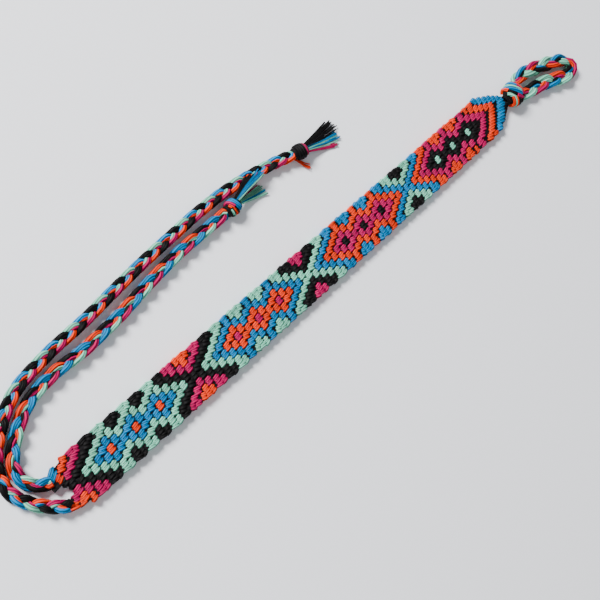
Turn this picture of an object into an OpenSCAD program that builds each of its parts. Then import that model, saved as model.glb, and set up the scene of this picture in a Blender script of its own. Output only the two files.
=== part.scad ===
// Friendship bracelet of knotted cotton thread, laid open and flat.
// A band of knots has a braided loop at one end and two braided tails with tufts at the other.
// Millimetres. The band runs along X with its loop at +X, and everything lies on z = 0.
// The origin is under the middle of the knotted band.

/* [Knotted band] */
// Length of the knotted band, from its tip at the loop to the middle of its two legs' ends
band_length = 146; // [110:1:170]
// Width of the band across its edge knots
band_width = 10.8; // [9.6:0.1:15]
// Thickness of the band, two layers of thread
band_thickness = 2; // [1.6:0.1:2.8]
// Length of the band that one row of knots takes up
row_pitch = 1.6; // [1.3:0.05:2]
// How far each edge knot stands out of the side of the band
edge_knot_relief = 0.35; // [0.15:0.05:0.5]
// Length of the pointed start of the band
point_length = 8.4; // [6:0.1:12]
// Width of the pointed start where it meets the loop knot
point_width = 3.6; // [2.6:0.1:4.5]
// Length over which the tail end of the band narrows
taper_length = 5.4; // [3.5:0.1:7]
// Width of each leg of the band where a tail starts
leg_width = 3.2; // [2.6:0.1:3.6]
// Gap between the two legs at their ends
leg_gap = 2.2; // [1.4:0.1:2.4]
// Depth of the notch between the two legs
notch_depth = 2.4; // [1:0.1:4]
// Angle at which both tails leave their legs, in degrees
exit_angle = 33; // [26:1:38]

/* [Braids] */
// Width of one strand, two threads side by side
strand_width = 0.95; // [0.85:0.05:1.2]
// Thickness of one strand
strand_thickness = 0.85; // [0.7:0.05:1]
// Clearance between two strands where they cross
crossing_gap = 0.15; // [0.1:0.02:0.2]
// Length of the short tail's braid in which each strand crosses over and back
short_tail_pitch = 9.9; // [9:0.1:13]
// The same length of the long tail's braid
long_tail_pitch = 8.2; // [8:0.1:13]
// The same length of the loop's wider and looser braid
loop_pitch = 13.9; // [12:0.1:15]
// Width of the loop's braid along its two legs, as a share of the tails' braids
loop_spread = 1.4; // [1.1:0.05:1.4]

/* [Loop knot] */
// Length of the knot at the foot of the loop
loop_knot_length = 6.4; // [4.5:0.1:8]
// Width of the loop knot
loop_knot_width = 6.6; // [5:0.1:8]
// Height of the loop knot
loop_knot_height = 4.2; // [3:0.1:5.5]

/* [Tail knots and tufts] */
// Length of the knot that closes a tail
tail_knot_length = 4.2; // [3.5:0.1:5.5]
// Width of a tail knot
tail_knot_width = 3.9; // [3.4:0.1:4]
// Height of a tail knot
tail_knot_height = 3.4; // [3.2:0.1:4.4]
// Length of the loose thread ends past a tail knot
tuft_length = 11; // [6:0.1:12]
// Width of one thread end, which frays wider than the thread
tuft_lock_width = 1.2; // [0.8:0.05:1.5]
// Thickness of one thread end
tuft_lock_thickness = 0.75; // [0.5:0.05:1]

/* [Seats] */
// Clearance between a strand and the band or knot that it enters
seat_gap = 0.2; // [0.1:0.01:0.25]
// Clearance between a thread end and the braid that it lies on
lying_gap = 0.12; // [0.08:0.01:0.25]

/* [Hidden] */

// Places along the band
tip_x = band_length / 2;
leg_end_x = -band_length / 2;
leg_y = (leg_gap + leg_width) / 2;
core_half_width = band_width / 2 - edge_knot_relief;
edge_knot_pitch = 2 * row_pitch;
edge_knot_count = floor((band_length - point_length - taper_length) / edge_knot_pitch);

// A strand swings from side to side once for every turn of the braid, and up and down twice.
// Its swing is just wide enough that the strand in the middle passes between the other two.
strand_sides = 6;
rings_per_turn = 9;
strand_swing = strand_width * 0.955;
swing_fullness = 0.12;
strand_lift = strand_thickness * 0.75 + crossing_gap;
strand_half_height = strand_thickness / 2 * sin(60);
floor_gap = 0.02;
braid_z = floor_gap + strand_half_height + strand_lift;
braid_top = braid_z + strand_lift + strand_half_height;

// The loop leaves the far face of its knot
loop_knot_x = tip_x + seat_gap + loop_knot_length / 2;
loop_foot_x = loop_knot_x + loop_knot_length / 2 + seat_gap;

// Middle line of the loop, as [x, y] from the foot of the loop
loop_route = [
    [0, 1.9], [3, 2.2], [6.3, 1.9], [9.6, 1.1], [12.8, 0.2], [15.4, -0.6], [17.8, -1.5],
    [19.6, -2.6], [20.3, -4.1], [19.3, -5.5], [17.2, -5.9], [14.8, -5.3], [12.4, -4.5],
    [9.6, -3.6], [6.3, -2.8], [3, -2.4], [0, -1.9]];

// The loop's braid is drawn in at both feet and round its tip
// Columns: share of the length, width there as a share of the tails' braids
loop_sizes = [[0, 1.1], [0.12, loop_spread], [0.36, loop_spread], [0.5, 1.1],
    [0.64, loop_spread], [0.88, loop_spread], [1, 1.1]];

// Middle line of the short tail, as [x, y] from the end of its leg
short_tail_route = [
    [0, 0], [-1.1, 0.7], [-2.3, 1.6], [-3.1, 3], [-3.4, 4.6], [-3.1, 6.2], [-2.2, 7.7],
    [-1, 9], [0.4, 10.2], [2, 11.4], [3.7, 12.5], [5.6, 13.5], [7.7, 14.3], [10, 14.8],
    [12.4, 15.1], [15, 15.3], [18, 15.2], [21.4, 15.1], [24.4, 15.3], [27.6, 15.6],
    [31, 15.9], [35.2, 16.5], [40.4, 17.3], [45.2, 17.9], [50, 18.4], [55, 18.6],
    [59.8, 18.7], [64.2, 18.8]];

// Middle line of the long tail, as [x, y] from the end of its leg
long_tail_route = [
    [0, 0], [-1.2, 0.8], [-2.5, 2], [-3.8, 3.4], [-4.9, 5], [-5.8, 6.8], [-6.4, 8.8],
    [-6.3, 11], [-5.5, 13.3], [-4.2, 15.3], [-2.6, 17], [-0.8, 18.5], [1.1, 19.9],
    [3.2, 21.2], [5.4, 22.3], [7.9, 23.1], [10.6, 23.6], [13.5, 24], [16.6, 24.4],
    [19.8, 24.6], [23.2, 24.8], [27, 25.1], [31, 25.6], [35.5, 26.1], [40.2, 26.6],
    [44.8, 27], [49.2, 27.3], [53.8, 27.6], [58.3, 27.9], [62.7, 28], [66.3, 28],
    [70, 27.8], [74.3, 27.4], [78.5, 26.8], [82.6, 26.1], [86.6, 25.2]];

// Where each braid is in its turn at its start, in degrees
loop_turn = 185;
short_tail_turn = 160;
long_tail_turn = 319;
// Whether a strand lies on top while it swings out to the side, 1, or back to the middle, -1
loop_over = 1;
tail_over = -1;

// A curve through the points of a route, as points a fraction of a millimetre apart
curve_steps = 6;
function blend(a, b, c, d, t) =
    (2 * b + (c - a) * t + (2 * a - 5 * b + 4 * c - d) * t * t
    + (3 * b - a - 3 * c + d) * t * t * t) / 2;
function curve(route) = let (n = len(route) - 1) concat(
    [for (i = [0 : n - 1], k = [0 : curve_steps - 1])
        blend(i == 0 ? 2 * route[0] - route[1] : route[i - 1], route[i], route[i + 1],
            i == n - 1 ? 2 * route[n] - route[n - 1] : route[i + 2], k / curve_steps)],
    [route[n]]);
function lengths(line, i = 0, sum = 0) = i >= len(line) - 1 ? [sum]
    : concat([sum], lengths(line, i + 1, sum + norm(line[i + 1] - line[i])));

// Tables of x and y against the length along a curve, and the place and heading at one length
function route_tables(route) = let (line = curve(route), s = lengths(line))
    [[for (i = [0 : len(s) - 1]) [s[i], line[i].x]],
     [for (i = [0 : len(s) - 1]) [s[i], line[i].y]], s[len(s) - 1]];
function place(tables, s) = [lookup(s, tables[0]), lookup(s, tables[1])];
function heading(tables, s) = let (step = 0.5,
    d = place(tables, min(s + step, tables[2])) - place(tables, max(s - step, 0))) d / norm(d);

// Middle of one strand of a braid at a length along the braid's route
function strand_point(tables, s, pitch, turn, over, size) =
    let (p = place(tables, s), h = heading(tables, s), a = 360 * s / pitch + turn,
        swing = strand_swing * size,
        side = swing * (sin(a) + swing_fullness * sin(3 * a)) / (1 - swing_fullness))
    [p.x - h.y * side, p.y + h.x * side, braid_z + over * strand_lift * sin(2 * a)];

// A ring of an oval section round a point, square to a direction
function unit(v) = v / norm(v);
function ring(c, along, w, t) =
    let (side = unit(cross([0, 0, 1], along)), up = unit(cross(along, side)))
    [for (k = [0 : strand_sides - 1]) let (a = 360 * k / strand_sides)
        c + side * (w / 2) * cos(a) + up * (t / 2) * sin(a)];

// A closed skin over a list of rings that have the same number of points
module skin(rings) {
    sides = len(rings[0]);
    last = (len(rings) - 1) * sides;
    points = [for (r = rings) each r];
    walls = [for (i = [0 : len(rings) - 2], k = [0 : sides - 1])
        let (a = i * sides + k, b = i * sides + (k + 1) % sides)
        each [[a, a + sides, b], [b, a + sides, b + sides]]];
    start = [for (k = [1 : sides - 2]) [0, k, k + 1]];
    end = [for (k = [1 : sides - 2]) [last, last + k + 1, last + k]];
    polyhedron(points, concat(start, walls, end), convexity = 10);
}

// One strand of a three-strand braid along a route, cut square to the route at both ends
module strand(route, pitch, turn, over, sizes = [[0, 1], [1, 1]]) {
    tables = route_tables(route);
    n = round(tables[2] / min(pitch, short_tail_pitch) * rings_per_turn);
    points = [for (i = [0 : n])
        strand_point(tables, tables[2] * i / n, pitch, turn, over, lookup(i / n, sizes))];
    ends = [for (s = [0, tables[2]]) concat(heading(tables, s), 0)];
    skin([for (i = [0 : n])
        ring(points[i], i == 0 ? ends[0] : i == n ? ends[1] : points[i + 1] - points[i - 1],
            strand_width * lookup(i / n, sizes), strand_thickness)]);
}

// Shape of a tied knot along its length, with blunt ends where the threads enter
// Columns: place along the knot, size there, both as shares
KNOT_SHAPE = [[0, 0.55], [0.07, 0.78], [0.2, 0.95], [0.35, 0.92], [0.5, 1], [0.65, 0.92],
    [0.8, 0.95], [0.93, 0.78], [1, 0.55]];
knot_sides = 16;
module knot_lump(length, width, height) {
    skin([for (row = KNOT_SHAPE) [for (k = [0 : knot_sides - 1])
        let (a = 360 * k / knot_sides)
        [length * (row[0] - 0.5), width / 2 * row[1] * cos(a),
            height / 2 * (1 + row[1] * sin(a))]]]);
}

// One loose thread end of a tuft, from inside the knot to what it lies on
// Columns: place along the thread end, how much of its start height is left, width there
LOCK_SHAPE = [[0, 1, 0.7], [0.15, 0.95, 0.75], [0.35, 0.6, 0.85], [0.6, 0.2, 0.95],
    [0.8, 0, 1], [1, 0, 0.9]];
module tuft_lock(reach, start_z, lies_on) {
    end_z = lies_on + tuft_lock_thickness / 2 * sin(60);
    skin([for (row = LOCK_SHAPE)
        ring([reach * row[0], 0, end_z + (start_z - end_z) * row[1]], [1, 0, 0],
            tuft_lock_width * row[2], tuft_lock_thickness)]);
}

// Thread ends of each tuft. The last of the long tail comes out of the side of its knot.
// Columns: start along, across and up the knot as shares of its half length, half width and
// height, angle from the tail in degrees, length as a share, 1 if it lies on the other braid
SHORT_TUFT = [
    [0.6, 0.3, 0.72, 8, 0.95, 1], [0.6, 0.2, 0.5, 1, 0.58, 0], [0.6, 0.1, 0.5, -4, 0.72, 0],
    [0.6, 0, 0.5, -9, 0.82, 0], [0.6, -0.1, 0.5, -14, 0.84, 0], [0.6, -0.2, 0.5, -19, 0.74, 0],
    [0.6, -0.3, 0.5, -24, 0.55, 0]];
LONG_TUFT = [
    [0.6, 0.4, 0.5, 18, 1.02, 0], [0.6, 0.25, 0.5, 13, 1.08, 0], [0.6, 0.1, 0.5, 8, 1.1, 0],
    [0.6, 0, 0.5, 4, 1.08, 0], [0.6, -0.15, 0.5, -1, 1.04, 0], [0.6, -0.3, 0.5, -5, 0.9, 0],
    [-0.8, -0.45, 0.3, -47, 0.42, 0]];
module tail_knot(route, origin, tuft) {
    tables = route_tables(route);
    h = heading(tables, tables[2]);
    translate(concat(origin + place(tables, tables[2]), 0))
    rotate(atan2(h.y, h.x))
    translate([seat_gap + tail_knot_length / 2, 0, 0]) {
        knot_lump(tail_knot_length, tail_knot_width, tail_knot_height);
        for (row = tuft)
            translate([row[0] * tail_knot_length / 2, row[1] * tail_knot_width / 2, 0])
            rotate(row[3])
            tuft_lock(tuft_length * row[4], tail_knot_height * row[2],
                row[5] == 1 ? braid_top + lying_gap : floor_gap);
    }
}

// The pointed start bulges: how far back from the tip, and how far between the half widths of
// the tip and of the band, as shares
POINT_BULGE = [0.35, 0.6];

// Outline of the band from above: pointed at the loop, with two legs at the tails
module band_outline() {
    half = core_half_width;
    shoulder_x = tip_x - point_length;
    taper_x = leg_end_x + taper_length;
    leg_out = leg_y + leg_width / 2;
    leg_in = leg_gap / 2;
    slant = leg_width / 2 * tan(exit_angle);
    bulge_x = tip_x - point_length * POINT_BULGE[0];
    bulge = point_width / 2 * (1 - POINT_BULGE[1]) + half * POINT_BULGE[1];
    polygon([[tip_x, point_width / 2], [bulge_x, bulge], [shoulder_x, half], [taper_x, half],
        [leg_end_x + slant, leg_out], [leg_end_x - slant, leg_in],
        [leg_end_x + notch_depth, 0],
        [leg_end_x + slant, -leg_in], [leg_end_x - slant, -leg_out],
        [taper_x, -half], [shoulder_x, -half], [bulge_x, -bulge], [tip_x, -point_width / 2]]);
    edge_knots(shoulder_x, half);
    mirror([0, 1, 0]) edge_knots(shoulder_x, half);
}

// The edge knots of one side, each a low bump that fills most of its place along the side
edge_knot_share = 0.92;
module edge_knots(shoulder_x, half) {
    half_length = edge_knot_pitch / 2 * edge_knot_share;
    for (k = [0 : edge_knot_count - 1])
        translate([shoulder_x - (k + 0.5) * edge_knot_pitch, half])
        polygon(concat(
            [for (a = [0 : 30 : 180]) [half_length * cos(a), edge_knot_relief * sin(a)]],
            [for (end = [-1, 1]) [end * half_length / 2, -edge_knot_relief]]));
}

module knotted_band() {
    rounding_y = (band_width - band_thickness) / 2;
    over = 2;
    color("darkturquoise")
    intersection() {
        linear_extrude(height = band_thickness) band_outline();
        rotate([90, 0, 90])
        translate([0, 0, leg_end_x - over])
        linear_extrude(height = band_length + 2 * over) {
            translate([-rounding_y, 0]) square([2 * rounding_y, band_thickness]);
            for (side = [-1, 1])
                translate([side * rounding_y, band_thickness / 2])
                circle(d = band_thickness, $fn = 48);
        }
    }
}

module loop_knot() {
    color("black")
    translate([loop_knot_x, 0, 0])
    knot_lump(loop_knot_length, loop_knot_width, loop_knot_height);
}

// The loop's strands, by their threads: orange and magenta, black and blue, two mint
module loop_strand(turn) {
    translate([loop_foot_x, 0, 0])
    strand(loop_route, loop_pitch, loop_turn + turn, loop_over, loop_sizes);
}
module loop_strand_a() { color("orangered") loop_strand(0); }
module loop_strand_b() { color("dimgray") loop_strand(120); }
module loop_strand_c() { color("aquamarine") loop_strand(240); }

// Where a tail leaves the slanted end of its leg
function tail_origin(side) = [leg_end_x, side * leg_y]
    + seat_gap * [-cos(exit_angle), sin(exit_angle)];

// The short tail's strands: orange and mint, two blue, magenta and black
module short_tail_strand(turn) {
    translate(tail_origin(1))
    strand(short_tail_route, short_tail_pitch, short_tail_turn + turn, tail_over);
}
module short_tail_strand_a() { color("orangered") short_tail_strand(0); }
module short_tail_strand_b() { color("deepskyblue") short_tail_strand(120); }
module short_tail_strand_c() { color("mediumvioletred") short_tail_strand(240); }
module short_tail_knot() {
    color("deepskyblue") tail_knot(short_tail_route, tail_origin(1), SHORT_TUFT);
}

// The long tail's strands: two black, blue and orange, mint and magenta
module long_tail_strand(turn) {
    translate(tail_origin(-1))
    strand(long_tail_route, long_tail_pitch, long_tail_turn + turn, tail_over);
}
module long_tail_strand_a() { color("dimgray") long_tail_strand(0); }
module long_tail_strand_b() { color("deepskyblue") long_tail_strand(120); }
module long_tail_strand_c() { color("aquamarine") long_tail_strand(240); }
module long_tail_knot() {
    color("black") tail_knot(long_tail_route, tail_origin(-1), LONG_TUFT);
}

knotted_band();
loop_knot();
loop_strand_a();
loop_strand_b();
loop_strand_c();
short_tail_strand_a();
short_tail_strand_b();
short_tail_strand_c();
short_tail_knot();
long_tail_strand_a();
long_tail_strand_b();
long_tail_strand_c();
long_tail_knot();
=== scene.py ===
# %% [markdown]
# # A friendship bracelet
# Six long cotton threads are braided at their middles, folded there to a loop and closed with
# an overhand knot. The twelve ends are then knotted row by row into a flat band. At the other
# end they part into two braids, each closed with a knot and cut to a tuft. This lesson dresses
# the plain CAD solids: it loads them, sets up camera and light, and then replaces each solid
# with threads.

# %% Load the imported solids
import math
import random
import bpy
from mathutils import Matrix, Vector


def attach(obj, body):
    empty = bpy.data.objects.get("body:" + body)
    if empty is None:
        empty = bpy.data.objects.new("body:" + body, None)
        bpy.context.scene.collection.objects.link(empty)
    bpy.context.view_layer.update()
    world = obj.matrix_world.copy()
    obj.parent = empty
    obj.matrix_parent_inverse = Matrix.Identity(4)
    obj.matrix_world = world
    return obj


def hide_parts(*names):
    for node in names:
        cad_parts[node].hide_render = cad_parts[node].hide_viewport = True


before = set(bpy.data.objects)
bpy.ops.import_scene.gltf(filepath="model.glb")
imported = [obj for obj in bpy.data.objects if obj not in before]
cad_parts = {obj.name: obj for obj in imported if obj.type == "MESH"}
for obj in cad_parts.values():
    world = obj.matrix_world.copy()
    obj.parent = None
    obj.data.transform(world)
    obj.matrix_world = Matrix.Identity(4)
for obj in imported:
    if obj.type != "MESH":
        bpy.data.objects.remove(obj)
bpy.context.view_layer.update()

bpy.ops.object.select_all(action="DESELECT")
MM = 0.001
random.seed(12)

# %% [markdown]
# ## The camera
# The bracelet was seen from above its tail end with a normal lens. The place and the two
# directions below come from fitting a camera to the rows of knots, whose spacing is known.

# %% Camera
camera = bpy.data.objects.new("camera", bpy.data.cameras.new("camera"))
bpy.context.collection.objects.link(camera)
camera.data.sensor_width = 36
camera.data.lens = 60
camera.data.clip_start = 0.01
view_right = Vector((0.6574, -0.6379, 0.4012)).normalized()
view_up = Vector((0.5901, 0.7669, 0.2523)).normalized()
view_back = view_right.cross(view_up)
camera.matrix_world = Matrix.Translation(Vector((-109.3, 12.4, 191.3)) * MM) @ Matrix(
    (view_right, view_up, view_back)).transposed().to_4x4()
bpy.context.scene.camera = camera
print("camera", [round(v / MM) for v in camera.location])

# %% [markdown]
# ## Floor and light
# A pale floor stands in for any table. One big soft lamp shines across the band from its +Y
# side, so that each knot has a light side and a shaded side, and the world fills the shadows.

# %% Helpers for colours and nodes
def srgb(code):
    """A hex colour as Blender's linear red, green, blue and alpha."""
    parts = [int(code[i:i + 2], 16) / 255 for i in (1, 3, 5)]
    return [v / 12.92 if v <= 0.04045 else ((v + 0.055) / 1.055) ** 2.4 for v in parts] + [1]


def add_node(tree, kind, settings=(), inputs=()):
    """Adds one node, with its settings, and links or sets its inputs."""
    node = tree.nodes.new(kind)
    for name, value in dict(settings).items():
        setattr(node, name, value)
    for name, value in dict(inputs).items():
        if isinstance(value, bpy.types.NodeSocket):
            tree.links.new(value, node.inputs[name])
        else:
            node.inputs[name].default_value = value
    return node


print("colours are read with srgb, nodes are added with add_node")

# %% Floor, lamps and world
# The floor is a hair below the bracelet, so that no thread cuts into it
FLOOR_Z = -0.02
bpy.ops.mesh.primitive_plane_add(size=3, location=(0, 0, FLOOR_Z * MM))
floor = bpy.context.object
floor.name = "floor"
paper = bpy.data.materials.new("matte_paper")
paper.use_nodes = True
paper.node_tree.nodes["Principled BSDF"].inputs["Base Color"].default_value = srgb("#F0F1F6")
paper.node_tree.nodes["Principled BSDF"].inputs["Roughness"].default_value = 0.9
floor.data.materials.append(paper)


def lamp(name, place, size, power):
    """A square soft lamp that shines at the middle of the bracelet."""
    bpy.ops.object.light_add(type="AREA", location=place)
    light = bpy.context.object
    light.name = name
    light.data.size = size
    light.data.energy = power
    light.rotation_euler = (-Vector(place)).to_track_quat("-Z", "Y").to_euler()


lamp("key_lamp", (-0.2, 0.6, 0.5), 0.25, 17)
lamp("fill_lamp", (-0.5, -0.4, 0.5), 0.6, 1.5)
world = bpy.data.worlds.new("soft_sky")
bpy.context.scene.world = world
world.use_nodes = True
world.node_tree.nodes["Background"].inputs["Color"].default_value = srgb("#EEF1F6")
world.node_tree.nodes["Background"].inputs["Strength"].default_value = 0.36
print("floor, two lamps and a sky")

# %% [markdown]
# ## Embroidery cotton in five colours
# Embroidery cotton is six thin plies laid side by side with a slow twist. It is mercerised, so
# it has a slight silky sheen. The grooves between the plies are painted darker, as the shade
# that falls in them. Each thread's UV map holds the length along the thread in millimetres and
# the way round it from 0 to 1, and the plies are drawn from those two numbers. Six plies show
# as stripes too fine for a whole thread seen from a hand's width away, so they are drawn as
# five, and half of them show.

# %% Cotton materials
PLIES = 5
PLY_TWIST = 4.5


def cotton(name, lit, groove_shade):
    """Mercerised six-ply cotton, with the colour of its plies and the painted shade in the grooves
    between.
    """
    material = bpy.data.materials.new(name)
    material.use_nodes = True
    tree = material.node_tree
    shader = tree.nodes["Principled BSDF"]
    around = add_node(tree, "ShaderNodeUVMap", {"uv_map": "UVMap"})
    phase = add_node(tree, "ShaderNodeVectorMath", {"operation": "DOT_PRODUCT"}, {
        0: around.outputs["UV"], 1: (2 * math.pi / PLY_TWIST, 2 * math.pi * PLIES, 0)})
    wave = add_node(tree, "ShaderNodeMath", {"operation": "SINE"}, {0: phase.outputs["Value"]})
    ply = add_node(tree, "ShaderNodeMapRange", {"interpolation_type": "SMOOTHSTEP"}, {
        "Value": wave.outputs[0], "From Min": -1.0, "From Max": 0.6})
    place = add_node(tree, "ShaderNodeTexCoord")
    # Single fibres are 0.02 mm thick; their tangles are drawn 0.15 mm wide so that they show
    fibres = add_node(tree, "ShaderNodeTexNoise", {}, {
        "Vector": place.outputs["Object"], "Scale": 1 / (0.15 * MM), "Detail": 3.0})
    # Dye takes unevenly over a few millimetres of thread
    dye = add_node(tree, "ShaderNodeTexNoise", {}, {
        "Vector": place.outputs["Object"], "Scale": 1 / (2.5 * MM), "Detail": 1.0})
    depth = add_node(tree, "ShaderNodeMath", {"operation": "MULTIPLY_ADD"}, {
        0: fibres.outputs["Fac"], 1: 0.5, 2: ply.outputs["Result"]})
    share = add_node(tree, "ShaderNodeMapRange", {}, {
        "Value": depth.outputs[0], "From Min": 0.1, "From Max": 1.1})
    # Painted shade: the grooves between plies and the fibre hollows are mixed towards the darker
    # groove colour
    colour = add_node(tree, "ShaderNodeMix", {"data_type": "RGBA"}, {
        "Factor": share.outputs["Result"], 6: srgb(groove_shade), 7: srgb(lit)})
    # The attribute read here holds each thread's random tone and, below 0, painted shade in the
    # creases between knots
    tone_and_painted_shade = add_node(tree, "ShaderNodeAttribute", {"attribute_name": "tone_and_painted_shade"})
    uneven_and_shaded = add_node(tree, "ShaderNodeMath", {"operation": "MULTIPLY_ADD"}, {
        0: dye.outputs["Fac"], 1: 0.3, 2: tone_and_painted_shade.outputs["Fac"]})
    value = add_node(tree, "ShaderNodeMapRange", {}, {
        "Value": uneven_and_shaded.outputs[0], "From Min": -1.3, "From Max": 1.3,
        "To Min": 0.3, "To Max": 1.2})
    dyed_and_shaded = add_node(tree, "ShaderNodeHueSaturation", {}, {
        "Color": colour.outputs[2], "Value": value.outputs["Result"]})
    bump = add_node(tree, "ShaderNodeBump", {}, {
        "Height": depth.outputs[0], "Strength": 0.7, "Distance": 0.1 * MM})
    tree.links.new(dyed_and_shaded.outputs["Color"], shader.inputs["Base Color"])
    tree.links.new(bump.outputs["Normal"], shader.inputs["Normal"])
    shader.inputs["Roughness"].default_value = 0.6
    shader.inputs["Specular IOR Level"].default_value = 0.1
    shader.inputs["Sheen Weight"].default_value = 0.02
    shader.inputs["Sheen Roughness"].default_value = 0.4
    return material


# Each cotton has the plies' own colour, then a darker colour painted into the ply grooves as shade
COTTON = {
    "mint": cotton("mint_cotton", "#7DCDAF", "#356F60"),
    "black": cotton("black_cotton", "#0B0A0B", "#030203"),
    "magenta": cotton("magenta_cotton", "#BA0056", "#520026"),
    "orange": cotton("orange_cotton", "#EE3600", "#7E1200"),
    "blue": cotton("blue_cotton", "#0078B2", "#003A58"),
}
COLOURS = list(COTTON)
print("cottons:", COLOURS)

# %% [markdown]
# ## A helper for one laid thread
# A thread that is laid along a route is a curve with a round section. In Blender that is a
# path with a bevel, turned into a mesh when its points are set. Its UV map runs from 0 to 1
# along the path, so it is stretched to millimetres there.

# %% Helpers for selecting, shading and joining
def make_active(*pieces):
    """Selects these objects alone, with the first one active."""
    bpy.ops.object.select_all(action="DESELECT")
    for piece in pieces:
        piece.select_set(True)
    bpy.context.view_layer.objects.active = pieces[0]


def set_tones_and_shades(piece, tones_and_painted_shades):
    """Keeps a tone on each point of a mesh: 1 is light, 0 dark, and below 0 painted deep shade in
    the creases.
    """
    shade = piece.data.attributes.new("tone_and_painted_shade", "FLOAT", "POINT")
    shade.data.foreach_set("value", tones_and_painted_shades)


def set_tint(piece, tone_and_painted_shade):
    """Keeps one shade on all points of a mesh."""
    set_tones_and_shades(piece, [tone_and_painted_shade] * len(piece.data.vertices))


def stretch_uv(piece, length, turns=1.0):
    """Makes the UV map's first number run to a length in millimetres."""
    data = piece.data.uv_layers[0].data
    values = [0.0] * (2 * len(data))
    data.foreach_get("uv", values)
    values[0::2] = [u * length for u in values[0::2]]
    values[1::2] = [v * turns for v in values[1::2]]
    data.foreach_set("uv", values)


def join(pieces, name):
    """Joins meshes into one piece with its place in its mesh."""
    make_active(*pieces)
    bpy.ops.object.join()
    bpy.ops.object.transform_apply(location=True, rotation=True, scale=True)
    piece = bpy.context.object
    piece.name = name
    piece.data.name = name
    return piece


print("pieces are joined with join")

# %% One thread along a list of points
def lay_thread(points, radii, colour, resolution=2):
    """A round thread through points in millimetres, with one radius or one for each point."""
    bpy.ops.object.select_all(action="DESELECT")
    bpy.ops.curve.primitive_nurbs_path_add()
    path = bpy.context.object
    path.data.splines.clear()
    spline = path.data.splines.new("POLY")
    spline.points.add(len(points) - 1)
    if not isinstance(radii, (list, tuple)):
        radii = [radii] * len(points)
    for point, place, radius in zip(spline.points, points, radii):
        point.co = (place[0] * MM, place[1] * MM, place[2] * MM, 1)
        point.radius = radius / max(radii)
    path.data.dimensions = "3D"
    path.data.twist_mode = "Z_UP"
    path.data.bevel_depth = max(radii) * MM
    path.data.bevel_resolution = resolution
    path.data.use_fill_caps = True
    length = sum((Vector(b) - Vector(a)).length for a, b in zip(points, points[1:]))
    make_active(path)
    bpy.ops.object.convert(target="MESH")
    thread = bpy.context.object
    bpy.ops.object.shade_smooth()
    stretch_uv(thread, length)
    set_tint(thread, random.random())
    thread.data.materials.append(COTTON[colour])
    return thread


def smooth_line(points, steps=6):
    """A smooth line through points of any number of coordinates."""
    ends = [[2 * a - b for a, b in zip(points[0], points[1])]] + [list(p) for p in points]
    ends += [[2 * a - b for a, b in zip(points[-1], points[-2])]]
    line = []
    for a, b, c, d in zip(ends, ends[1:], ends[2:], ends[3:]):
        for t in (k / steps for k in range(steps)):
            line.append([(2 * q + (r - p) * t + (2 * p - 5 * q + 4 * r - s) * t * t
                          + (3 * q - p - 3 * r + s) * t ** 3) / 2
                         for p, q, r, s in zip(a, b, c, d)])
    return line + [list(points[-1])]


print("a thread is laid with lay_thread")

# %% [markdown]
# ## The chart of the band
# A band of twelve threads has six knots in one row and five in the next, each between two of
# the row before, so the knots lie like the cells of a diamond lattice. The pattern is the
# common nested diamond: three centres, then rings round them, and every colour moves one ring
# outwards from one group of diamonds to the next. So a knot's colour is the number of rings to
# the nearest centre plus the number of its group, counted round the five colours.

# %% Colour of each knot
# Millimetres between two rows and between two places across the band
ROW_PITCH = 1.6
PLACE_PITCH = 0.9
FIRST_ROW, MIDDLE_ROW, LAST_ROW = -8, 37, 80
MIDDLE_X = -1
EDGE = 5
GROUPS = 4
GROUP_ROWS = 22
CENTRES = (0, 4, 8)
# The one departure from the rule is at the edges of the last group
MINT_EDGE_ROWS = (65, 69, 73)


def knot_colour(row, place):
    """The colour of the knot in a row, at a place from -EDGE to EDGE across the band."""
    if abs(place) == EDGE and row in MINT_EDGE_ROWS:
        return "mint"
    rings = []
    for group in range(GROUPS):
        for centre in CENTRES:
            along = row - GROUP_ROWS * group - centre
            rings.append(group + max(abs(along + place), abs(along - place)) // 2)
    return COLOURS[min(rings) % len(COLOURS)]


chart = [(row, place)
         for row in range(FIRST_ROW, LAST_ROW + 1) for place in range(-EDGE, EDGE + 1)
         if (row + place) % 2 == 0 and row >= FIRST_ROW + abs(place)]
print(len(chart), "knots,", {c: sum(knot_colour(*k) == c for k in chart) for c in COLOURS})

# %% Place of each knot
# The hand's unevenness, in millimetres: how far the ends of the first rows bulge forward on the
# -Y and the +Y side, how far the point is drawn out, how much the rows before it are packed,
# and how far they drift to +Y, before the point and how much more at it
BULGE_BACK, BULGE_FRONT = 3.4, 2.2
DRAWN_OUT, PACKED = 1.6, 0.65
DRIFT, MORE_DRIFT = 0.25, 1.25
# As shares: how much less the rows drift a place further out, and how much the legs narrow
LESS_DRIFT, LEGS_NARROWER = 0.09, 0.1


def blend(x, low, high):
    """0 below low, 1 above high, and straight between."""
    return max(0.0, min(1.0, (x - low) / (high - low)))


def look_up(x, table):
    """The value at x, straight between the rows of a table."""
    for (x0, v0), (x1, v1) in zip(table, table[1:]):
        if x <= x1:
            return v0 + (v1 - v0) * blend(x, x0, x1)
    return table[-1][1]


def knot_place(row, place):
    """Where a knot lies, in millimetres. The first rows bulge forward round the point."""
    rows_ahead = MIDDLE_ROW - row
    x = rows_ahead * ROW_PITCH + MIDDLE_X
    y = place * PLACE_PITCH
    point = blend(x, 60, 68)
    bulge = BULGE_BACK if place < 0 else BULGE_FRONT
    x += bulge * abs(place) / EDGE * blend(-row, -2, 2)
    x += DRAWN_OUT * point - PACKED * blend(rows_ahead, 19, 33)
    drift = (DRIFT + MORE_DRIFT * point) * (1 - LESS_DRIFT * abs(place))
    y += drift * blend(rows_ahead, 25, 36)
    y *= 1 - LEGS_NARROWER * blend(-x, 68, 73)
    return x, y


ends = [round(knot_place(row, 0)[0], 1) for row in (FIRST_ROW, LAST_ROW)]
print("the middle of the first row is at x", ends[0], "and of the last at", ends[1], "mm")

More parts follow.
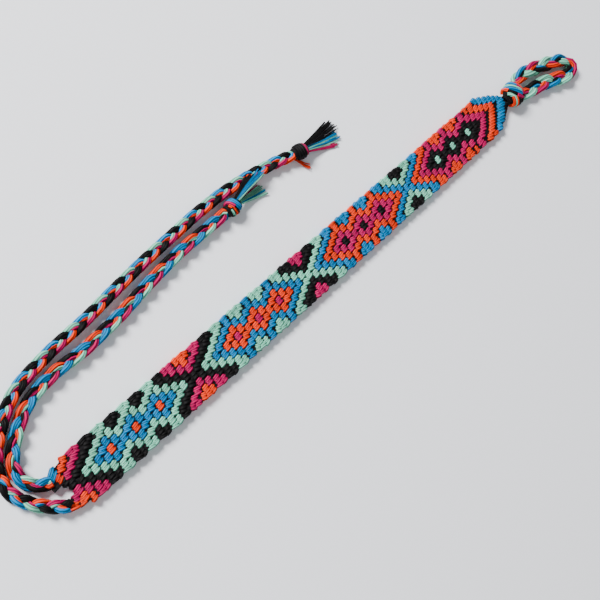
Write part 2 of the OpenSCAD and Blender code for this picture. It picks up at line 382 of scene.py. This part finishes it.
# %% [markdown]
# ## One knot
# Each knot is two turns of one thread round the next. A turn is a small ring on edge, longer
# than it is high, so it starts as a torus. Two turns lie side by side with a slight slant,
# one way for knots tied to the left and the other way for knots tied to the right. A knot is
# repeated more than five hundred times, so each ring has only eight by six faces.

# %% A turn and the two knots
TURN_RADIUS = 0.54
RING_RADIUS = 0.45
KNOT_Z = 1.0
TURN_GAP = 0.35
TURN_STAGGER = 0.12
TURN_STRETCH = (1.25, 1.05, 1)
SLANT = 14


def knot_turn(side, slant):
    """One turn of a knot, standing on edge along X, moved sideways and slanted."""
    bpy.ops.object.select_all(action="DESELECT")
    bpy.ops.mesh.primitive_torus_add(
        major_radius=RING_RADIUS * MM, minor_radius=TURN_RADIUS * MM,
        major_segments=8, minor_segments=6, rotation=(math.pi / 2, math.pi / 8, 0),
        location=(0, 0, KNOT_Z * MM))
    turn = bpy.context.object
    bpy.ops.object.transform_apply(location=True, rotation=True, scale=True)
    bpy.ops.object.mode_set(mode="EDIT")
    bpy.ops.transform.resize(value=TURN_STRETCH, center_override=(0, 0, KNOT_Z * MM))
    bpy.ops.transform.translate(value=(side * TURN_STAGGER * MM, side * TURN_GAP * MM, 0))
    bpy.ops.transform.rotate(value=-math.radians(slant), orient_axis="Z",
                             center_override=(0, 0, 0))
    bpy.ops.object.mode_set(mode="OBJECT")
    bpy.ops.object.shade_smooth()
    stretch_uv(turn, 2 * math.pi * RING_RADIUS)
    return turn


def knot(name, slant):
    """Two turns side by side."""
    return join([knot_turn(-1, slant), knot_turn(1, slant)], name)


LEFT_KNOT = knot("left_knot", SLANT)
RIGHT_KNOT = knot("right_knot", -SLANT)
print("one knot:", len(LEFT_KNOT.data.polygons), "faces")

# %% [markdown]
# ## The band
# Each knot of the chart is a copy with its own mesh, set down with a small error in place and
# turn, as tied by hand. At the sides the outer thread turns back between two rows, and that
# turn is drawn as a narrow copy of a knot between the edge knots. Two edge knots of one colour
# are drawn together by the knot between them.

# %% A copy of a knot at a place on the band
# Small errors of the hand: millimetres along and across, degrees, and shares of the size
ERROR_ALONG, ERROR_ACROSS, ERROR_TURN = 0.06, 0.05, 5
ERROR_SIZE = (0.96, 1.03)
# Past this distance from the middle of the band, in millimetres, a turn is free and gets no
# painted shade
FREE_SIDE = 5.2
# How deep the painted shade is in the creases between knots, and the heights from a knot's middle
# that it fades between
PAINTED_CREASE_SHADE, CREASE_HEIGHTS = 1.6, (0.2, 0.85)


def tone_and_shade_knot(piece, y):
    """A random tone for a knot, with painted shade where its turns dive between the neighbours."""
    tone_and_painted_shade = random.random()
    tones_and_painted_shades = []
    for vertex in piece.data.vertices:
        height = abs(vertex.co.z / MM - KNOT_Z)
        free = abs(y + vertex.co.y / MM) > FREE_SIDE
        # Painted shade: a turn that dives between its neighbours is darkened, unless it is on the
        # free side
        tones_and_painted_shades.append(tone_and_painted_shade if free else tone_and_painted_shade - PAINTED_CREASE_SHADE * (1 - blend(height, *CREASE_HEIGHTS)))
    set_tones_and_shades(piece, tones_and_painted_shades)


def set_down(model, x, y, colour, size=(1, 1, 1), turn=0):
    """A copy of a knot, with the hand's small errors in place, turn and size."""
    piece = model.copy()
    piece.data = model.data.copy()
    bpy.context.collection.objects.link(piece)
    piece.location = ((x + random.uniform(-ERROR_ALONG, ERROR_ALONG)) * MM,
                      (y + random.uniform(-ERROR_ACROSS, ERROR_ACROSS)) * MM, 0)
    turn += random.uniform(-ERROR_TURN, ERROR_TURN)
    piece.rotation_euler = (0, 0, math.radians(turn))
    piece.scale = [s * random.uniform(*ERROR_SIZE) for s in size]
    piece.scale[2] = size[2]
    piece.data.materials.clear()
    piece.data.materials.append(COTTON[colour])
    tone_and_shade_knot(piece, y)
    return piece


print("a knot is set down with set_down")

# %% How the knots lean, stretch and are drawn together
EDGE_PULL = 0.3


def leans_left(row, place):
    """Whether the line of one colour through this knot runs to the left."""
    colour = knot_colour(row, place)
    left = sum(knot_colour(row + d, place + d) == colour for d in (-1, 1))
    right = sum(knot_colour(row + d, place - d) == colour for d in (-1, 1))
    return left >= right


def row_stretch(row, place):
    """How far apart the rows lie here, with 1 for the plain band."""
    return (knot_place(row - 1, place)[0] - knot_place(row + 1, place)[0]) / (2 * ROW_PITCH)


def edge_pull(row, place):
    """How far an edge knot is drawn along X to its neighbour of the same colour."""
    colour, inner = knot_colour(row, place), place * (EDGE - 1) // EDGE
    return EDGE_PULL * ((knot_colour(row - 1, inner) == colour)
                        - (knot_colour(row + 1, inner) == colour))


print("edge knots are drawn together by", EDGE_PULL, "mm")

# %% Knots over the chart
# The first two lines of knots on the -Y side are tied long and loose: the lengths of each line
# and of its corner knot, and how far a knot shifts forward for each length that it gains
LOOSE_LENGTHS = {0: 1.85, 2: 1.35}
CORNER_LENGTH = 1.2
LOOSE_SHIFT = 1.2
PULLED_LENGTH, EDGE_LENGTH = 0.75, 0.85
# The thread that turns back at the side: the first row that has it, its place across, its size
FIRST_SIDE_ROW, SIDE_PLACE, SIDE_SIZE = -2, 5.3, (1.15, 0.62, 0.97)
# The last knots on the two legs, which no longer lie in rows: place, colour, length and turn
LEG_KNOT_WIDTH = 0.95
LEG_KNOTS = [(-71.7, 3.6, "blue", 1.4, 29), (-71.2, 2.3, "orange", 1.1, 20),
             (-70.6, 1.1, "black", 0.9, 0), (-70.6, -3.8, "orange", 1, -10),
             (-72.3, -3.4, "orange", 1.25, -29), (-71.2, -2.5, "magenta", 1, -20)]

knots = []
for row, place in chart:
    x, y = knot_place(row, place)
    model = LEFT_KNOT if leans_left(row, place) else RIGHT_KNOT
    length = row_stretch(row, place)
    if abs(place) == EDGE:
        length = PULLED_LENGTH if edge_pull(row, place) else EDGE_LENGTH
        x += edge_pull(row, place)
    line = row - FIRST_ROW - abs(place)
    if place < 0 and line in LOOSE_LENGTHS:
        length = CORNER_LENGTH if (line, place) == (0, -EDGE) else LOOSE_LENGTHS[line]
        x += LOOSE_SHIFT * (length - 1)
    knots.append(set_down(model, x, y, knot_colour(row, place), (length, 1, 1)))
for x, y, colour, length, turn in LEG_KNOTS:
    size = (length, LEG_KNOT_WIDTH, LEG_KNOT_WIDTH)
    knots.append(set_down(LEFT_KNOT, x, y, colour, size, turn))
for row in range(FIRST_SIDE_ROW, LAST_ROW, 2):
    for side in (-1, 1):
        x, y = knot_place(row, side * SIDE_PLACE)
        knots.append(set_down(LEFT_KNOT if side > 0 else RIGHT_KNOT, x, y,
                              knot_colour(row, side * (EDGE - 1)), SIDE_SIZE))
band = join(knots, "band_knots")
for model in (LEFT_KNOT, RIGHT_KNOT):
    bpy.data.objects.remove(model)
print("band:", len(band.data.polygons), "faces")

# %% [markdown]
# ## The carried threads inside the band
# Under the knots the other threads run straight along the band. They are only seen in the small
# gaps, where shade falls, so they are drawn as a near-black layer of painted shade rather than in
# their own colours. A grid is given the band's outline row by row, and a Solidify modifier gives
# it the thickness of the carried threads.

# %% Carried threads
# Place along the band and half the width there, in millimetres
OUTLINE = [(-73.4, 3.3), (-71, 4.3), (-67.6, 4.9), (63.6, 4.9), (68.6, 3.9), (73.1, 1.4)]
LAYER_START, LAYER_LENGTH = -73.4, 146.5
LAYER_Z, LAYER_THICKNESS = 0.45, 1.1
LAYER_TINT = 0.5
# The notch between the legs: where it ends along the band, and its two sides
NOTCH_END, NOTCH_BACK, NOTCH_FRONT = -70.4, -1.9, 1.3

# Near-black cotton as painted shade in the gaps between knots, not the carried threads' own
# colours
carried_cotton_painted_shade = cotton("carried_cotton_painted_shade", "#110F11", "#050405")
bpy.ops.object.select_all(action="DESELECT")
bpy.ops.mesh.primitive_grid_add(x_subdivisions=92, y_subdivisions=8, size=2, location=(0, 0, 0))
layer = bpy.context.object
for vertex in layer.data.vertices:
    x = LAYER_START + (vertex.co.x + 1) / 2 * LAYER_LENGTH
    vertex.co = (x * MM, vertex.co.y * look_up(x, OUTLINE) * MM, LAYER_Z * MM)
bpy.ops.object.mode_set(mode="EDIT")
bpy.ops.mesh.select_all(action="DESELECT")
bpy.ops.object.mode_set(mode="OBJECT")
for face in layer.data.polygons:
    x, y = face.center.x / MM, face.center.y / MM
    face.select = x < NOTCH_END and NOTCH_BACK < y < NOTCH_FRONT
bpy.ops.object.mode_set(mode="EDIT")
bpy.ops.mesh.delete(type="FACE")
bpy.ops.object.mode_set(mode="OBJECT")
thick = layer.modifiers.new("thickness", "SOLIDIFY")
thick.thickness = LAYER_THICKNESS * MM
thick.offset = 1
bpy.ops.object.modifier_apply(modifier="thickness")
layer.name = "band_carried_threads"
layer.data.materials.append(carried_cotton_painted_shade)
set_tint(layer, LAYER_TINT)
print("carried threads:", len(layer.data.polygons), "faces")

# %% [markdown]
# ## The threads that fan out at the start
# Between the overhand knot and the first row the threads fan out over the point of the band.
# Seven of them are seen, and each is laid through three or four given points.

# %% Fan at the start
FAN_RADIUS = 0.42
# Neighbours lie at different heights, so that none cuts through the next
FAN_HEIGHTS = (1.2, 1.1, 1.0)
FAN = [
    ("black", [(73.4, -1.2), (71.9, -2.0), (70.2, -2.9), (67.4, -4.1)]),
    ("blue", [(73.4, -1.0), (71.2, -1.9), (69, -3.3), (66.4, -4.2)]),
    ("black", [(73.4, -0.6), (71.2, -1.2), (69.2, -2.4), (67, -3.4)]),
    ("blue", [(73.4, -0.2), (71.4, -0.4), (70, -1.3)]),
    ("black", [(73.4, 0.2), (71.9, 0.4), (70.8, 0.8)]),
    ("blue", [(73.4, 0.7), (72, 1.5), (70.4, 2.4), (68.4, 3.3)]),
    ("blue", [(73.4, 1.2), (71.8, 2.3), (69.8, 3.3), (67, 4.2)]),
]
fan_threads = []
for k, (colour, points) in enumerate(FAN):
    line = [(x, y, FAN_HEIGHTS[k % 3]) for x, y in smooth_line(points)]
    fan_threads.append(lay_thread(line, FAN_RADIUS, colour))
fan = join(fan_threads, "band_fan_threads")
print("fan:", len(FAN), "threads")

# %% [markdown]
# ## The braids
# Loop and tails are plain three-strand braids, and each strand is a pair of threads lying side
# by side. A strand swings from side to side once a turn and rises and falls twice, so that it
# passes over one neighbour and under the other. The loop's braid is wider and looser, and its
# strands lie on top on their way out to the side, while in the tails they do so on their way
# back to the middle. The routes are the ones the solids follow. Each strand stays the piece
# that its solid is, with its two threads joined.

# %% Routes of the three braids
# Where a strand runs in its braid, in millimetres: how far it swings sideways, how far it rises
# and falls, and the height of the braid's middle. FULLNESS keeps it at the sides for longer.
SWING = 0.63
FULLNESS = 0.12
LIFT = 0.58
BRAID_Z = 1.23
# Where the tails leave the band: X, half the distance between them, and the Y of their middle
LEG = (-73.17, 2.7, 0.11)
LOOP_FOOT = (79.8, 0)
LOOP_ROUTE = [
    (0, 1.9), (3, 2.2), (6.3, 1.9), (9.6, 1.1), (12.8, 0.2), (15.4, -0.6), (17.8, -1.5),
    (19.6, -2.6), (20.3, -4.1), (19.3, -5.5), (17.2, -5.9), (14.8, -5.3), (12.4, -4.5),
    (9.6, -3.6), (6.3, -2.8), (3, -2.4), (0, -1.9)]
# The loop's braid is drawn in at both feet and round its tip: share of length, share of width
LOOP_SIZES = [(0, 1.1), (0.12, 1.4), (0.36, 1.4), (0.5, 1.1), (0.64, 1.4), (0.88, 1.4), (1, 1.1)]
TAIL_SIZES = [(0, 1), (1, 1)]
SHORT_TAIL_ROUTE = [
    (0, 0), (-1.1, 0.7), (-2.3, 1.6), (-3.1, 3), (-3.4, 4.6), (-3.1, 6.2), (-2.2, 7.7),
    (-1, 9), (0.4, 10.2), (2, 11.4), (3.7, 12.5), (5.6, 13.5), (7.7, 14.3), (10, 14.8),
    (12.4, 15.1), (15, 15.3), (18, 15.2), (21.4, 15.1), (24.4, 15.3), (27.6, 15.6),
    (31, 15.9), (35.2, 16.5), (40.4, 17.3), (45.2, 17.9), (50, 18.4), (55, 18.6),
    (59.8, 18.7), (64.2, 18.8)]
LONG_TAIL_ROUTE = [
    (0, 0), (-1.2, 0.8), (-2.5, 2), (-3.8, 3.4), (-4.9, 5), (-5.8, 6.8), (-6.4, 8.8),
    (-6.3, 11), (-5.5, 13.3), (-4.2, 15.3), (-2.6, 17), (-0.8, 18.5), (1.1, 19.9),
    (3.2, 21.2), (5.4, 22.3), (7.9, 23.1), (10.6, 23.6), (13.5, 24), (16.6, 24.4),
    (19.8, 24.6), (23.2, 24.8), (27, 25.1), (31, 25.6), (35.5, 26.1), (40.2, 26.6),
    (44.8, 27), (49.2, 27.3), (53.8, 27.6), (58.3, 27.9), (62.7, 28), (66.3, 28),
    (70, 27.8), (74.3, 27.4), (78.5, 26.8), (82.6, 26.1), (86.6, 25.2)]
print("points on the routes:", len(LOOP_ROUTE), len(SHORT_TAIL_ROUTE), len(LONG_TAIL_ROUTE))

# %% A route, and a strand's place on it
class Route:
    """A smooth line on the table that knows its place and heading at any length."""

    def __init__(self, points, origin):
        self.line = [Vector((p[0] + origin[0], p[1] + origin[1])) for p in smooth_line(points)]
        self.at = [0.0]
        for a, b in zip(self.line, self.line[1:]):
            self.at.append(self.at[-1] + (b - a).length)
        self.length = self.at[-1]

    def place(self, s):
        """The point at a length along the line, which goes on straight past its ends."""
        i = 0
        while i < len(self.at) - 2 and self.at[i + 1] < s:
            i += 1
        share = (s - self.at[i]) / (self.at[i + 1] - self.at[i])
        a, b = self.line[i], self.line[i + 1]
        return a.lerp(b, share) if 0 <= share <= 1 else a + (b - a) * share

    def heading(self, s):
        """The direction there, from half a millimetre before to half a millimetre after."""
        return (self.place(min(s + 0.5, self.length))
                - self.place(max(s - 0.5, 0))).normalized()


def strand_point(route, s, a, over, size):
    """The middle of one strand of a braid at a length along its route, a radians round."""
    place, ahead = route.place(s), route.heading(s)
    side = SWING * size * (math.sin(a) + FULLNESS * math.sin(3 * a)) / (1 - FULLNESS)
    return Vector((place.x - ahead.y * side, place.y + ahead.x * side,
                   BRAID_Z + over * LIFT * math.sin(2 * a)))


loop_route = Route(LOOP_ROUTE, LOOP_FOOT)
short_route = Route(SHORT_TAIL_ROUTE, (LEG[0], LEG[1] + LEG[2]))
long_route = Route(LONG_TAIL_ROUTE, (LEG[0], -LEG[1] + LEG[2]))
print("routes in mm:", [round(r.length, 1) for r in (loop_route, short_route, long_route)])

# %% Strands as pairs of threads
# A thread's radius, its distance from the strand's middle, and how both grow in a wider braid
THREAD_RADIUS, RADIUS_GROWTH = 0.55, 0.2
THREAD_OFFSET, OFFSET_GROWTH = 0.21, 0.5
# The least height over the floor and the length past the solid's ends, in millimetres
FLOOR_GAP, PAST_THE_SOLID = 0.02, 0.5
# How far a pair rolls as its strand swings, in degrees
ROLL = 30
RINGS_A_TURN = 16
# Route, pitch in millimetres, 1 or -1 for strands on top on their way out or back, and sizes
LOOP = (loop_route, 13.9, 1, LOOP_SIZES)
SHORT = (short_route, 9.9, -1, TAIL_SIZES)
LONG = (long_route, 8.2, -1, TAIL_SIZES)
# Node, its braid, turn in degrees, colour on the left and on the right going outwards
STRANDS = [
    ("loop_strand_a", LOOP, 185, "magenta", "orange"),
    ("loop_strand_b", LOOP, 305, "blue", "black"),
    ("loop_strand_c", LOOP, 65, "mint", "mint"),
    ("short_tail_strand_a", SHORT, 160, "orange", "mint"),
    ("short_tail_strand_b", SHORT, 280, "blue", "blue"),
    ("short_tail_strand_c", SHORT, 40, "black", "magenta"),
    ("long_tail_strand_a", LONG, 319, "black", "black"),
    ("long_tail_strand_b", LONG, 79, "blue", "orange"),
    ("long_tail_strand_c", LONG, 199, "mint", "magenta"),
]


def strand_threads(node, braid, turn, left, right):
    """The two threads of one strand, joined, a little longer than the solid at both ends."""
    route, pitch, over, sizes = braid
    length = route.length + 2 * PAST_THE_SOLID
    count = round(length / pitch * RINGS_A_TURN)
    steps = [-PAST_THE_SOLID + length * i / count for i in range(count + 1)]
    phases = [2 * math.pi * s / pitch + math.radians(turn) for s in steps]
    wide = [look_up(s / route.length, sizes) for s in steps]
    middle = [strand_point(route, s, a, over, size) for s, a, size in zip(steps, phases, wide)]
    pair = []
    for colour, side in ((left, 1), (right, -1)):
        points, radii = [], []
        for i, point in enumerate(middle):
            along = middle[min(i + 1, count)] - middle[max(i - 1, 0)]
            across = Vector((-along.y, along.x, 0)).normalized()
            roll = math.radians(ROLL) * math.sin(phases[i])
            across = across * math.cos(roll) + Vector((0, 0, math.sin(roll)))
            place = point + across * side * (THREAD_OFFSET + OFFSET_GROWTH * (wide[i] - 1))
            radii.append(THREAD_RADIUS + RADIUS_GROWTH * (wide[i] - 1))
            place.z = max(place.z, radii[-1] + FLOOR_GAP)
            points.append(place)
        pair.append(lay_thread(points, radii, colour))
    return join(pair, node + "_threads")


strands = {row[0]: strand_threads(*row) for row in STRANDS}
print(len(strands), "strands,", sum(len(p.data.polygons) for p in strands.values()), "faces")

# %% [markdown]
# ## The overhand knot at the loop
# All the threads of the loop make one tight overhand knot. From outside it is a lump with
# thread turns lying across it, some square to it and the last ones on a slant. Each turn is a
# short helix on the lump: it starts at one share of the length and one angle, and ends at
# another. Angle 0 is the +Y side, 90 the top and 180 the -Y side.

# %% Turns of thread round a knot
# In millimetres: how much smaller the lump is than the knot, and the length of thread once
# round it. The threads on it lie in three layers.
LUMP_INSET, LUMP_ROUND = 0.35, 6
LUMP_LAYERS = 3
LUMP_TINT = 0.4
# The outline of a knot is full in its middle and blunt at its ends
END_DROP, END_POWER, LEAST_SHARE = 0.88, 2.3, 0.05
# A turn at the very end stays inside the knot by this share of its radius
END_INSET = 0.6
TURN_POINTS = 24


def knot_lump(centre, heading, half):
    """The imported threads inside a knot: a sphere pulled to the knot's size and a bit smaller."""
    bpy.ops.object.select_all(action="DESELECT")
    bpy.ops.mesh.primitive_uv_sphere_add(segments=16, ring_count=10, radius=MM)
    lump = bpy.context.object
    bpy.ops.object.mode_set(mode="EDIT")
    bpy.ops.mesh.select_all(action="SELECT")
    bpy.ops.transform.resize(value=[h - LUMP_INSET for h in half])
    bpy.ops.object.mode_set(mode="OBJECT")
    lump.location = Vector(centre) * MM
    lump.rotation_euler = (0, 0, heading)
    bpy.ops.object.transform_apply(location=True, rotation=True, scale=True)
    bpy.ops.object.shade_smooth()
    stretch_uv(lump, LUMP_ROUND, LUMP_LAYERS)
    set_tint(lump, LUMP_TINT)
    lump.data.materials.append(COTTON["black"])
    return lump


def knot_turns(centre, heading, half, table):
    """Threads on a knot: colour, radius, shares of the length and angles at start and end."""
    threads = []
    for colour, radius, x0, x1, a0, a1 in table:
        points = []
        for i in range(TURN_POINTS + 1):
            t = i / TURN_POINTS
            x = x0 + (x1 - x0) * t
            a = math.radians(a0 + (a1 - a0) * t)
            size = math.sqrt(max(LEAST_SHARE, 1 - END_DROP * abs(x) ** END_POWER))
            local = Vector((x * (half[0] - radius * END_INSET),
                            size * (half[1] - radius) * math.cos(a),
                            size * (half[2] - radius) * math.sin(a)))
            local.rotate(Matrix.Rotation(heading, 3, "Z"))
            points.append(Vector(centre) + local)
        threads.append(lay_thread(points, radius, colour))
    return threads


print("a knot is a knot_lump with knot_turns on it")

# %% The loop's knot
# Its middle, heading and half sizes
LOOP_KNOT = ((76.4, 0, 2.1), 0, (3.2, 3.3, 2.1))
# Colour, radius, shares of the half length at start and end, angles at start and end
LOOP_KNOT_TURNS = [
    ("black", 0.42, -1.0, -0.97, -60, 300), ("orange", 0.5, -0.66, -0.5, -40, 52),
    ("mint", 0.45, -0.78, -0.46, 62, 106), ("orange", 0.4, -0.56, -0.9, 98, 262),
    ("mint", 0.36, -0.4, -0.76, 104, 258), ("orange", 0.38, -0.26, -0.6, 108, 260),
    ("black", 0.5, -0.1, 0.0, 138, 310), ("black", 0.5, 0.3, 0.25, 142, 320),
    ("magenta", 0.55, -0.08, 0.48, 108, 150), ("blue", 0.6, -0.6, 0.5, 12, 120),
    ("mint", 0.4, -0.36, 0.62, 8, 104), ("blue", 0.48, 0.12, 0.5, -50, 62),
    ("magenta", 0.4, 0.46, 0.7, -40, 135), ("orange", 0.44, 0.7, 0.88, -30, 150),
    ("mint", 0.42, 0.94, 0.96, -20, 104), ("black", 0.45, 0.75, 0.7, 148, 330),
]
loop_knot = join([knot_lump(*LOOP_KNOT)] + knot_turns(*LOOP_KNOT, LOOP_KNOT_TURNS),
                 "loop_knot_threads")
print("loop knot:", len(LOOP_KNOT_TURNS), "turns")

# %% [markdown]
# ## The knots and tufts of the tails
# Each tail ends in a small knot of its own six threads, cut off about a centimetre past it.
# Past the knot the plies of each thread come apart and spread, so the tuft is drawn as bunches
# of six thin plies that start together and end spread out, with slightly different lengths.

# %% Turns and tufts of the tail knots
# Half the size of a knot along, across and up
TAIL_KNOT_HALF = (2.1, 1.95, 1.7)
SHORT_KNOT_TURNS = [
    ("black", 0.42, -0.85, -0.8, -60, 300), ("black", 0.42, -0.4, -0.5, 90, 300),
    ("orange", 0.42, -0.5, -0.1, 60, 170), ("mint", 0.34, -0.55, -0.35, 100, 220),
    ("magenta", 0.42, -0.5, 0.0, -40, 95), ("blue", 0.45, -0.1, 0.5, -40, 150),
    ("blue", 0.4, 0.25, 0.75, -20, 150), ("black", 0.42, 0.1, 0.4, 140, 330),
    ("black", 0.4, 0.85, 0.8, -60, 300),
]
LONG_KNOT_TURNS = [
    ("black", 0.42, -0.85, -0.8, -60, 300), ("black", 0.45, -0.5, -0.3, -60, 300),
    ("black", 0.45, -0.2, 0.2, -60, 300), ("black", 0.45, 0.2, 0.5, -60, 250),
    ("magenta", 0.4, 0.55, 0.8, 10, 200), ("black", 0.4, 0.88, 0.8, -60, 300),
]
# Start along, across and up the knot as shares, angle, length in mm, 1 if it lies on the
# other braid, colour, and the share of its plies that are mint
SHORT_TUFT = [
    (0.6, 0.5, 0.72, 17, 7.6, 1, "black", 0), (0.6, 0.3, 0.72, 11, 9.6, 1, "blue", 0),
    (0.6, 0.2, 0.72, 7, 10.6, 1, "blue", 0.2), (0.6, 0.15, 0.5, 0, 8.2, 0, "magenta", 0.3),
    (0.6, 0, 0.5, -5, 8.8, 0, "mint", 1), (0.6, -0.15, 0.5, -11, 8.8, 0, "blue", 0.5)]
LONG_TUFT = [
    (0.6, 0.4, 0.5, 18, 11.2, 0, "black", 0), (0.6, 0.25, 0.5, 13, 11.9, 0, "black", 0),
    (0.6, 0.1, 0.5, 8, 12.1, 0, "black", 0), (0.6, 0, 0.5, 4, 11.9, 0, "blue", 0.2),
    (0.6, -0.15, 0.5, -1, 11.4, 0, "blue", 0.4), (0.6, -0.3, 0.5, -5, 9.9, 0, "magenta", 0),
    (-0.8, -0.45, 0.3, -47, 4.6, 0, "orange", 0)]
print("tufts:", len(SHORT_TUFT), "and", len(LONG_TUFT), "bunches")

# %% A bunch of cut plies
PLY_RADIUS = 0.15
PLY_COUNT = 6
# A ply is thickest at its neck and thins by this share of its radius to its tip
NECK_SHARE, TAPER = 1.25, 0.4
# In millimetres: how far the plies lie from the bunch's middle at the neck and how much more at
# the tip, how far they pile up at the neck, how far a tip strays sideways and up
NECK_SPREAD, TIP_SPREAD = 0.2, 0.42
NECK_PILE = 0.18
STRAY_SIDE, STRAY_UP = 0.25, 0.35
# Each next ply lies this many radians further round the pile
PILE_ANGLE = 2.4
# A ply is cut between these shares of its bunch's length
CUT_SHARES = (0.86, 1.0)
# Heights in millimetres: the top of a braid, and the middle of a ply over a braid and the floor
BRAID_TOP = 2.34
OVER_BRAID, OVER_FLOOR = 0.3, 0.28
# Share of a ply's length, and the share of its first height that is left there
DROP = [(0, 1), (0.15, 0.95), (0.35, 0.6), (0.6, 0.2), (0.8, 0), (1, 0)]


def ply_bunch(centre, heading, row):
    """Six cut plies, from inside the knot to what they lie on."""
    along, across, up, angle, length, on_braid, colour, pale = row
    half = TAIL_KNOT_HALF
    start = Vector((along * half[0], across * half[1], up * 2 * half[2] - half[2]))
    turned = Matrix.Rotation(math.radians(angle), 3, "Z")
    rest = (BRAID_TOP + OVER_BRAID if on_braid else OVER_FLOOR) - centre[2]
    middle = (PLY_COUNT - 1) / 2
    plies = []
    for k in range(PLY_COUNT):
        spread = (k - middle) / middle
        reach = length * random.uniform(*CUT_SHARES)
        wander = random.uniform(-STRAY_SIDE, STRAY_SIDE)
        tip = random.uniform(0, STRAY_UP)
        points = []
        for share, left in smooth_line(DROP, 4):
            side = spread * (NECK_SPREAD + TIP_SPREAD * share ** 2) + wander * share ** 2
            pile = NECK_PILE * math.cos(k * PILE_ANGLE) * (1 - share)
            height = rest + (start.z - rest) * left + pile
            local = turned @ Vector((reach * share, side, 0))
            local += Vector((start.x, start.y, height + tip * share ** 4))
            local.rotate(Matrix.Rotation(heading, 3, "Z"))
            points.append(Vector(centre) + local)
        shade = "mint" if k / PLY_COUNT < pale else colour
        radii = [PLY_RADIUS * (NECK_SHARE - TAPER * i / len(points)) for i in range(len(points))]
        plies.append(lay_thread(points, radii, shade, 1))
    return plies


print("a bunch is laid with ply_bunch")

# %% Tail knots with their tufts
SEAT_GAP = 0.2


def tail_knot(name, route, table, tuft):
    """A tail's knot with its tuft, a little past the end of the tail's braid."""
    ahead = route.heading(route.length)
    heading = math.atan2(ahead.y, ahead.x)
    end = route.place(route.length) + ahead * (SEAT_GAP + TAIL_KNOT_HALF[0])
    centre = (end.x, end.y, TAIL_KNOT_HALF[2])
    parts = [knot_lump(centre, heading, TAIL_KNOT_HALF)]
    parts += knot_turns(centre, heading, TAIL_KNOT_HALF, table)
    for row in tuft:
        parts += ply_bunch(centre, heading, row)
    return join(parts, name)


short_knot = tail_knot("short_tail_knot_threads", short_route, SHORT_KNOT_TURNS, SHORT_TUFT)
long_knot = tail_knot("long_tail_knot_threads", long_route, LONG_KNOT_TURNS, LONG_TUFT)
print("tail knots:", len(short_knot.data.polygons), len(long_knot.data.polygons), "faces")

# %% [markdown]
# ## Every piece on its body
# The bracelet has no joint, so all its pieces ride on the one body. The solid that each piece
# stands in for is hidden.

# %% Ride on the body and hide the solids
DRESS = [
    (band, "knotted_band", "band_threads"), (layer, "knotted_band", "band_threads"),
    (fan, "knotted_band", "band_threads"), (loop_knot, "loop_knot", "black_threads"),
    (short_knot, "short_tail_knot", "blue_threads"),
    (long_knot, "long_tail_knot", "black_threads"),
]
SLOTS = {"loop_strand_a": "orange", "loop_strand_b": "black", "loop_strand_c": "mint",
         "short_tail_strand_a": "orange", "short_tail_strand_b": "blue",
         "short_tail_strand_c": "magenta", "long_tail_strand_a": "black",
         "long_tail_strand_b": "blue", "long_tail_strand_c": "mint"}
DRESS += [(piece, node, SLOTS[node] + "_threads") for node, piece in strands.items()]
for piece, node, slot in DRESS:
    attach(piece, "root")
    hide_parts(node)
print(len(DRESS), "pieces on the body root")
